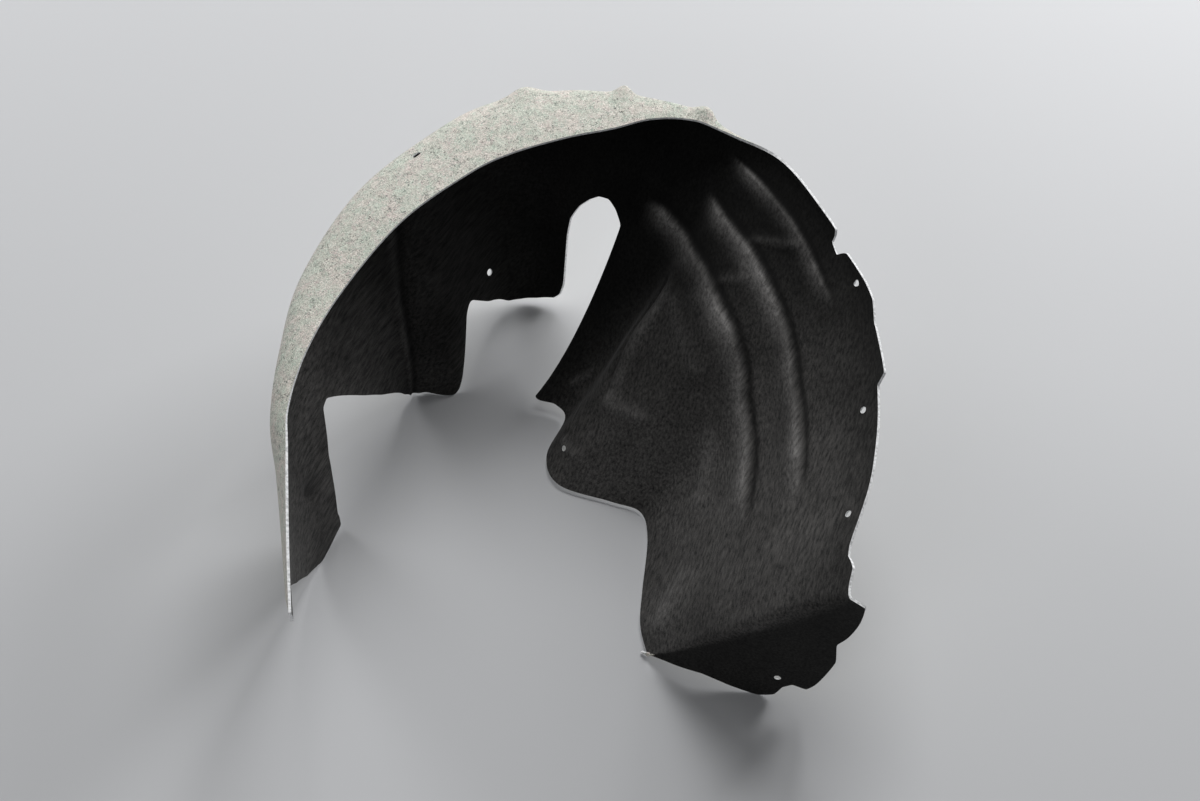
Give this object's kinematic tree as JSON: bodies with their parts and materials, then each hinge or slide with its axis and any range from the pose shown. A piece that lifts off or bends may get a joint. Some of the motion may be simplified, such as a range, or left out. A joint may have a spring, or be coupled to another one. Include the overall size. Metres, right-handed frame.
{
  "type": "wheel arch liner",
  "caption": "Moulded needle felt wheel arch liner: a curved shell that wraps the tyre, with an outboard lip, pressed ribs, a strut slot and clip holes.",
  "frame": {"origin": "bottom centre of the bounding box, with the liner lying on its inboard edge as in the picture", "axes": "X across the arch from the front leg (-X) to the ribbed rear wall (+X), Y from the leg ends to the crown, Z from the inboard edge up to the outboard rim"},
  "size_m": [0.68, 0.72, 0.2941],
  "materials": {
    "felt": "black needled polyester felt on the wheel side, mottled light grey recycled fibre on the body side, pale cut edge"
  },
  "bodies": {
    "root": {"wheel_arch_liner": "felt"}
  },
  "joints": []
}
